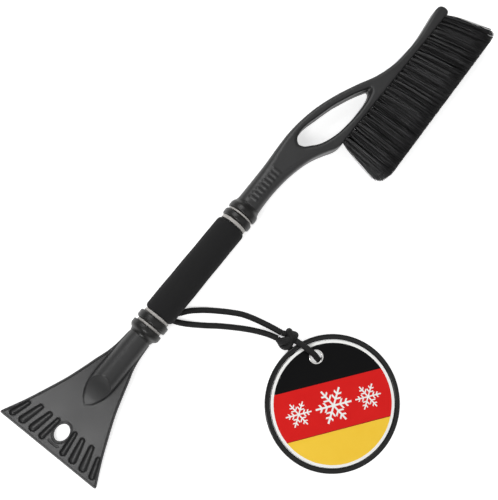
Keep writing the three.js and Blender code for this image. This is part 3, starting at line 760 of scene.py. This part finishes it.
# Tufts: row name, side of the block, count, shift along the row in pitches
ROWS = (("top", 1, TUFT_COUNT, 0), ("bottom", -1, TUFT_COUNT - 1, 0.5))


def smooth_outline(points):
    path, _ = smooth_route([(across, along, 0) for across, along in points], OUTLINE_STEP)
    return path[:, :2]


def outline_distance(across, along, outline):
    """How far a place in the plan is outside a closed outline, less than 0 inside it."""
    nearest = np.full(np.broadcast(across, along).shape, np.inf)
    inside = np.zeros(nearest.shape, bool)
    for (x0, y0), (x1, y1) in zip(outline, np.roll(outline, -1, axis=0)):
        run = np.array((x1 - x0, y1 - y0))
        length = max(run.dot(run), 1e-12)
        part = np.clip(((across - x0) * run[0] + (along - y0) * run[1]) / length, 0, 1)
        away = np.hypot(across - x0 - part * run[0], along - y0 - part * run[1])
        nearest = np.minimum(nearest, away)
        if y0 != y1:
            between = (y0 > along) != (y1 > along)
            inside ^= between & (across < x0 + (along - y0) * run[0] / run[1])
    return np.where(inside, -nearest, nearest)


frame_outline = np.vstack([smooth_outline(part) for part in (FRAME_RIGHT, FRAME_TIP, FRAME_LEFT)])
loop_outline = smooth_outline(FINGER_LOOP)


def frame_solid(across, along, up):
    outer = outline_distance(across, along, frame_outline)
    loop = outline_distance(across, along, loop_outline)
    parting = PARTING_RISE * np.exp(-(up / PARTING_HALF) ** 2)
    plan = np.maximum(outer, -(loop + parting))
    rounding = np.interp(along, ROUNDING_ALONG, FRAME_ROUNDING)
    past_side = plan + rounding
    past_face = abs(up) - FRAME_HALF_DEPTH + rounding
    body = np.minimum(np.maximum(past_side, past_face), 0)
    body = body + np.hypot(np.maximum(past_side, 0), np.maximum(past_face, 0)) - rounding
    body = rounded_max(body, FRAME_START - along, FRAME_MOUTH_ROUNDING)
    for i in range(RIDGE_COUNT):
        beyond = np.maximum(abs(across) - RIDGE_HALF, 0)
        beside = along - RIDGE_FIRST - RIDGE_PITCH * i
        away = np.sqrt(beyond ** 2 + beside ** 2 + (up - RIDGE_UP) ** 2)
        body = rounded_min(body, away - RIDGE_RADIUS, RIDGE_FILLET)
    holes = np.full(np.broadcast(along, up).shape, 1.0)
    for _, side, count, shift in ROWS:
        for i in range(count):
            root = TUFT_FIRST + TUFT_PITCH * (i + shift)
            hole = np.hypot(along - root, up - side * TUFT_ROW_UP) - TUFT_HOLE_RADIUS
            holes = np.minimum(holes, hole)
    holes = np.maximum(holes, BLOCK_FACE - TUFT_HOLE_DEPTH - across)
    body = rounded_max(body, -holes, TUFT_HOLE_ROUNDING)
    bore = socket_bore(across, along, up, FRAME_BORE_START, TUBE_END + SOCKET_CLEARANCE,
                       FRAME_PIN_ALONG)
    return np.maximum(body, -bore)


brush_frame = moulding("brush_frame_moulding", frame_solid, low=(-0.0153, 0.1437, -0.0134),
                       high=(0.0328, 0.4178, 0.0141), cell=0.00068, finish=charcoal)
on_scraper(brush_frame, "brush_frame")

# ---------------------------------------------------------------- bristles
# Tufts of black nylon filament, folded over a staple and punched into the block's holes in two
# staggered rows. They splay towards the tips, which are trimmed to one slanting line.
FILAMENTS = 240
FILAMENT_RADIUS, FILAMENT_SIDES = 0.0002, 3
FILAMENT_RINGS, RING_CROWDING = 6, 1.5
ROOT_SPREAD = 0.0038
ROOT_SWELL = 0.25
ROOT_ACROSS = 0.0268
# Filaments are painted darker towards the root, down to this share, as painted shade near the block
ROOT_PAINTED_SHADE = 0.35
TIP_FIRST, TIP_LAST = 0.2494, 0.4221
TIP_HALF = 0.0049
TIP_ACROSS, TIP_SLANT = 0.086, 0.0335
TIP_UP, TIP_UP_HALF, TIP_UP_LIMIT = 0.0086, 0.0081, 0.0166
TIP_DOME = 0.001
# How far the trimmed brush reaches past the middles of its end tufts, in half tufts
LOW_REACH, HIGH_REACH = 0.65, 0.8
LOW_CORNER, HIGH_CORNER = 0.0085, 0.006
FLARE = 0.88
END_FAN, LOWER_FAN = 0.62, 2
STRAY_SHARE = 0.03
# How light each filament is painted, as painted highlight streaks: plain filaments, and lighter strays
PLAIN_PAINTED_STREAKS, STRAY_PAINTED_STREAKS = (0, 0.6), (0.7, 1.0)
GOLDEN_ANGLE = 2.399963
# Disorder: turns at the root and the tip, tips along and up, strays, trimming, bow
ROOT_TURN, TIP_TURN = 0.2, 0.12
ALONG_JITTER, UP_JITTER, STRAY_JITTER = 0.0008, 0.0003, 0.003
TRIM_JITTER, BOW_JITTER = 0.0006, 0.0005

nylon = Finish("nylon_filament", (0.012, 0.012, 0.0125), 0.5)
# A per-point value paints single filaments lighter as painted highlight streaks, strays lightest, and
# darkens each towards its root as painted shade
painted_highlight_and_shade = nylon.node("Attribute", {"attribute_name": "painted_highlight_and_shade"}, output=2)
nylon.set("Base Color", nylon.mix(painted_highlight_and_shade, (0.003, 0.003, 0.0033, 1), (0.06, 0.06, 0.062, 1)))
nylon.set("Roughness", 0.42 + 0.2 * painted_highlight_and_shade)
nylon.bump(nylon.noise(1800, 2), 0.00003, 0.3)

draw = random.Random(12)
tip_pitch = (TIP_LAST - TIP_FIRST) / (TUFT_COUNT - 1)
brush_low, brush_high = TIP_FIRST - LOW_REACH * TIP_HALF, TIP_LAST + HIGH_REACH * TIP_HALF


def trimmed(along):
    """How far out the brush is trimmed at a place along it."""
    reach = TIP_ACROSS - TIP_SLANT * (along - brush_low)
    past_low = brush_low + LOW_CORNER - along
    past_high = along - brush_high + HIGH_CORNER
    for corner, past in ((LOW_CORNER, past_low), (HIGH_CORNER, past_high)):
        if past > 0:
            past = min(past, corner)
            reach -= corner - math.sqrt(corner ** 2 - past ** 2)
    return reach


def filament_ends(side, place, i):
    """Root and tip of one filament, spread evenly over the tuft, with a little disorder."""
    rho = math.sqrt((i + 0.5) / FILAMENTS)
    angle = i * GOLDEN_ANGLE + draw.uniform(-ROOT_TURN, ROOT_TURN)
    x, y = rho * math.cos(angle), rho * math.sin(angle)
    tip_angle = angle + draw.uniform(-TIP_TURN, TIP_TURN)
    square = rho / max(abs(math.cos(tip_angle)), abs(math.sin(tip_angle)))
    far_x, far_y = square * math.cos(tip_angle), square * math.sin(tip_angle)
    root_along = TUFT_FIRST + TUFT_PITCH * place
    tip_along = TIP_FIRST + tip_pitch * place
    root = Vector((ROOT_ACROSS, root_along + ROOT_SPREAD * x, side * TUFT_ROW_UP + ROOT_SPREAD * y))
    # End tufts are fanned outward. The lower row's reach further, as it starts half a pitch in.
    if (place < 1 and far_x < 0) or (place > TUFT_COUNT - 2 and far_x > 0):
        far_x = math.copysign(abs(far_x) ** END_FAN, far_x) * (1 if side > 0 else LOWER_FAN)
    along = tip_along + TIP_HALF * far_x + draw.gauss(0, ALONG_JITTER)
    along = min(max(along, brush_low), brush_high)
    up = side * TIP_UP + TIP_UP_HALF * far_y + draw.gauss(0, UP_JITTER)
    stray = draw.random() < STRAY_SHARE
    if stray:
        along = min(max(along + draw.gauss(0, STRAY_JITTER), brush_low), brush_high)
    out = trimmed(along) - abs(draw.gauss(0, TRIM_JITTER)) - TIP_DOME * (far_y ** 4)
    up = max(-TIP_UP_LIMIT, min(TIP_UP_LIMIT, up))
    return root, Vector((out, along, up)), stray


for row, side, count, shift in ROWS:
    for i in range(count):
        points, faces, painted_highlight_and_shade_values = [], [], []
        middle = Vector((ROOT_ACROSS, TUFT_FIRST + TUFT_PITCH * (i + shift), side * TUFT_ROW_UP))
        for j in range(FILAMENTS):
            root, tip, stray = filament_ends(side, i + shift, j)
            bow = Vector((0, draw.gauss(0, BOW_JITTER), draw.gauss(0, BOW_JITTER)))
            # This filament's painted highlight: how much lighter it is painted
            painted_streak = draw.uniform(*(STRAY_PAINTED_STREAKS if stray else PLAIN_PAINTED_STREAKS))
            base = len(points)
            for k in range(FILAMENT_RINGS):
                u = (k / (FILAMENT_RINGS - 1)) ** RING_CROWDING
                spread = u ** FLARE
                swell = ROOT_SWELL * min(k // 2, 1) * (1 - spread)
                centre = Vector((root.x + (tip.x - root.x) * u, root.y + (tip.y - root.y) * spread,
                                 root.z + (tip.z - root.z) * spread))
                centre.y += swell * (root.y - middle.y)
                centre.z += swell * (root.z - middle.z)
                centre += bow * 4 * u * (1 - u)
                for m in range(FILAMENT_SIDES):
                    turn = 2 * math.pi * m / FILAMENT_SIDES + j
                    rim = Vector((0, math.cos(turn), math.sin(turn))) * FILAMENT_RADIUS
                    points.append(at(*(centre + rim)))
                    # Painted highlight, darkened towards the root as painted shade
                    painted_highlight_and_shade_values.append(painted_streak * (ROOT_PAINTED_SHADE + (1 - ROOT_PAINTED_SHADE) * u))
            for k in range(FILAMENT_RINGS - 1):
                a = base + FILAMENT_SIDES * k
                b = a + FILAMENT_SIDES
                for m in range(FILAMENT_SIDES):
                    n = (m + 1) % FILAMENT_SIDES
                    faces.append((a + m, a + n, b + n, b + m))
            last = base + FILAMENT_SIDES * (FILAMENT_RINGS - 1)
            faces += [(base + 2, base + 1, base), (last, last + 1, last + 2)]
        node = "bristle_tuft_{}_{:02d}".format(row, i + 1)
        tuft = make_piece(node + "_nylon", points, faces, nylon, sharp=100)
        tuft.data.attributes.new("painted_highlight_and_shade", "FLOAT", "POINT").data.foreach_set("value", painted_highlight_and_shade_values)
        on_scraper(tuft, node)

# ---------------------------------------------------------------- hang tag
# A round card tag: a stiff black board and a printed, varnished face, both held in a moulded
# black rim, with a nickel-plated eyelet for the cord. It leans on the cord that passes under it.
TAG_RADIUS = 0.0645
TAG_RIM_WIDTH = 0.005
TAG_RIM_HEIGHT = 0.003
RIM_IN_ROUNDING, RIM_ROUNDING = 0.0004, 0.0013
TAG_SPOKES = 160
TAG_ACROSS, TAG_ALONG, TAG_LIFT = 0.177, 0.053, 0.0001
TAG_LEAN = math.radians(4.5)
TAG_HOLE = (-0.0397, 0.0236)
EYELET_HOLE, EYELET_BARREL, EYELET_FLANGE = 0.0054, 0.0059, 0.0068
EYELET_LOW, EYELET_BACK, EYELET_FRONT, EYELET_HIGH = 0.0003, 0.0006, 0.0026, 0.003
EYELET_EDGE, EYELET_ROUNDING, EYELET_LIP_ROUNDING = 0.0001, 0.0002, 0.0003
SHEET_CLEARANCE, SHEET_EASE = 0.0003, 0.00015
BOARD_LOW, BOARD_HIGH, BOARD_RADIUS = 0.0009, 0.0023, 0.0592
PRINT_LOW, PRINT_HIGH, PRINT_RADIUS = 0.0026, 0.003, 0.059
BAND_ACROSS = (-0.794, 0.608)
BLACK_FROM, YELLOW_FROM = 0.0209, -0.0243
OVERLAP_HALF = 0.0004
BORDER_FROM = 0.0563
# Snowflakes on the red band: place along the band, offset across it, size
SNOWFLAKES = ((0, -0.0017, 0.0175), (-0.034, -0.0017, 0.0125), (0.034, -0.0017, 0.0125))
# Half width of arms and branches, and where each branch starts and its reach, for an arm of 1
ARM_HALF, BRANCH_HALF = 0.05, 0.045
BRANCHES = ((0.36, 0.3), (0.64, 0.24))

tag_centre = at(TAG_ACROSS, TAG_ALONG)
tag_centre.z = TAG_RADIUS * math.sin(TAG_LEAN) + TAG_LIFT
TAG_POSE = Matrix.Translation(tag_centre) @ Matrix.Rotation(TAG_LEAN, 4, "Y")


def on_tag(piece, node):
    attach(piece, "tag")
    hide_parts(node)


rim_plastic = Finish("tag_rim_black", (0.004, 0.004, 0.0045), 0.2,
                     constants={"Specular IOR Level": 0.35})
rim_tone = rim_plastic.noise(120, 3)
rim_plastic.set("Base Color", rim_plastic.mix(rim_tone, grey(0.003), grey(0.006)))
rim_plastic.set("Roughness", 0.14 + 0.14 * rim_tone)
rim_in = TAG_RADIUS - TAG_RIM_WIDTH
rim_corners = (
    (0, rim_in, RIM_IN_ROUNDING), (0, TAG_RADIUS, RIM_ROUNDING),
    (TAG_RIM_HEIGHT, TAG_RADIUS, RIM_ROUNDING), (TAG_RIM_HEIGHT, rim_in, RIM_ROUNDING),
)
rim = turned("tag_rim_moulded", rim_corners, rim_plastic, TAG_POSE, TAG_SPOKES)
on_tag(rim, "tag_rim")


def tag_sheet(name, radius, hole, low, high, finish):
    """A round sheet with a hole for the eyelet, its edges slightly eased."""
    ease = min(SHEET_EASE, (high - low) / 3)
    levels = ((ease, low), (0, low + ease), (0, high - ease), (ease, high))
    hole_x, hole_y = TAG_HOLE
    points = []
    for i in range(TAG_SPOKES):
        angle = 2 * math.pi * i / TAG_SPOKES
        x, y = math.cos(angle), math.sin(angle)
        toward = hole_x * x + hole_y * y
        far = -toward + math.sqrt(toward ** 2 - hole_x ** 2 - hole_y ** 2 + radius ** 2)
        ring = [(far - inset, up) for inset, up in levels]
        ring += [(hole + inset, up) for inset, up in reversed(levels)]
        for reach, up in ring:
            points.append(TAG_POSE @ Vector((hole_x + x * reach, hole_y + y * reach, up)))
    faces = ring_faces(TAG_SPOKES, 2 * len(levels))
    return make_piece(name, points, faces, finish, sharp=35)


card = Finish("tag_card", (0.02, 0.02, 0.021), 0.6)
card_fibre = card.noise(900, 4)
card.set("Base Color", card.mix(card_fibre, grey(0.014), grey(0.03)))
card.bump(card_fibre, 0.00005, 0.5)
board = tag_sheet("tag_disc_card", BOARD_RADIUS, EYELET_BARREL + SHEET_CLEARANCE, BOARD_LOW,
                  BOARD_HIGH, card)
on_tag(board, "tag_disc")

ink = Finish("tag_ink", (0.6, 0.02, 0.02), 0.3, constants={"Specular IOR Level": 0.12})
tag_place = ink.node("Mapping", {"vector_type": "TEXTURE"},
                     {"Vector": ink.place(), "Location": tuple(tag_centre),
                      "Rotation": (0, TAG_LEAN, 0)})
tag_x = ink.node("SeparateXYZ", values={0: tag_place})
tag_y = ink.node("SeparateXYZ", values={0: tag_place}, output=1)
up_band = BAND_ACROSS[0] * tag_x + BAND_ACROSS[1] * tag_y
along_band = BAND_ACROSS[1] * tag_x - BAND_ACROSS[0] * tag_y
from_middle = (tag_x ** 2 + tag_y ** 2) ** 0.5


def snowflake(along, across, size):
    """A plain six-armed snowflake: where its print is, as 1 and 0."""
    x = along_band - along
    y = up_band - across
    distance = (x ** 2 + y ** 2) ** 0.5
    sector = math.pi / 3
    turn = y.combine("ARCTAN2", y, x) + math.pi
    fold = turn.combine("PINGPONG", turn, sector / 2)
    outward = distance * fold.combine("COSINE", fold)
    sideways = distance * fold.combine("SINE", fold)
    arms = (sideways < ARM_HALF * size) * (outward < size)
    for start, reach in BRANCHES:
        past = outward - start * size
        off = abs(past * math.sin(sector) - sideways * math.cos(sector))
        branch = (off < BRANCH_HALF * size) * (sideways < reach * math.sin(sector) * size)
        arms = arms.combine("MAXIMUM", arms, branch)
    return arms


flakes = snowflake(*SNOWFLAKES[0])
for flake in SNOWFLAKES[1:]:
    flakes = flakes.combine("MAXIMUM", flakes, snowflake(*flake))
press_tone = ink.noise(60, 3)
red = ink.mix(press_tone, (0.66, 0.008, 0.008, 1), (0.74, 0.014, 0.012, 1))
yellow = ink.mix(press_tone, (0.93, 0.58, 0.04, 1), (0.97, 0.64, 0.06, 1))
overlap = abs(up_band - YELLOW_FROM) < OVERLAP_HALF
bands = ink.mix(up_band < YELLOW_FROM, red, yellow)
bands = ink.mix(overlap, bands, (0.35, 0.012, 0.01, 1))
bands = ink.mix(up_band > BLACK_FROM, bands, (0.0015, 0.0015, 0.0018, 1))
bands = ink.mix(flakes, bands, (0.9, 0.9, 0.88, 1))
ink.set("Base Color", ink.mix(from_middle > BORDER_FROM, bands, (0.92, 0.92, 0.9, 1)))
ink.set("Roughness", 0.34 + 0.12 * press_tone)
ink.bump(ink.noise(500, 2), 0.00001, 0.3)
face = tag_sheet("tag_print_face", PRINT_RADIUS, EYELET_FLANGE + SHEET_CLEARANCE, PRINT_LOW,
                 PRINT_HIGH, ink)
on_tag(face, "tag_print")

nickel = Finish("nickel_plate", (0.8, 0.79, 0.77), 0.18, 1.0)
nickel_wear = nickel.noise(700, 3)
nickel.set("Roughness", 0.12 + 0.16 * nickel_wear)
EYELET_POSE = TAG_POSE @ Matrix.Translation((*TAG_HOLE, 0))
eyelet_corners = (
    (EYELET_LOW, EYELET_HOLE, EYELET_ROUNDING), (EYELET_LOW, EYELET_FLANGE, EYELET_EDGE),
    (EYELET_BACK, EYELET_FLANGE, EYELET_EDGE), (EYELET_BACK, EYELET_BARREL, EYELET_EDGE),
    (EYELET_FRONT, EYELET_BARREL, EYELET_EDGE), (EYELET_FRONT, EYELET_FLANGE, EYELET_EDGE),
    (EYELET_HIGH, EYELET_FLANGE, EYELET_ROUNDING),
    (EYELET_HIGH, EYELET_HOLE, EYELET_LIP_ROUNDING),
)
eyelet = turned("tag_eyelet_nickel", eyelet_corners, nickel, EYELET_POSE, 64, 4)
on_tag(eyelet, "tag_eyelet")

# ---------------------------------------------------------------- floor and light
# A pale floor that glows a little and has no edge in sight, an even white sky, and three large
# soft lights. The strongest shines from the grip's left side.
floor_finish = Finish("pale_floor", (0.9, 0.9, 0.9), 0.7,
                      constants={"Emission Color": (1, 1, 1, 1), "Emission Strength": 0.6})
FLOOR_HALF = 30
floor_mesh = bpy.data.meshes.new("floor")
floor_corners = [(x * FLOOR_HALF, y * FLOOR_HALF, 0) for x, y in ((-1, -1), (1, -1), (1, 1), (-1, 1))]
floor_mesh.from_pydata(floor_corners, [], [(0, 1, 2, 3)])
floor_mesh.materials.append(floor_finish.material)
floor = bpy.data.objects.new("floor", floor_mesh)
bpy.context.scene.collection.objects.link(floor)

world = bpy.data.worlds.new("studio")
bpy.context.scene.world = world
world.use_nodes = True
world.node_tree.nodes["Background"].inputs["Color"].default_value = (1, 1, 1, 1)
world.node_tree.nodes["Background"].inputs["Strength"].default_value = 0.3
bpy.context.scene.view_settings.view_transform = "Standard"

# Lights: name, place over the scraper, size, power
for name, place, size, power in (
    ("key", (-0.85, 0.4, 1.2), 0.8, 9.5),
    ("sheen", (-0.05, -0.78, 1.15), 0.45, 7),
    ("fill", (0.9, 0.1, 1.2), 1.2, 2.5),
):
    light_data = bpy.data.lights.new(name, "AREA")
    light_data.size = size
    light_data.energy = power
    light = bpy.data.objects.new(name, light_data)
    light.location = place
    light.rotation_euler = (-Vector(place)).to_track_quat("-Z", "Y").to_euler()
    bpy.context.scene.collection.objects.link(light)
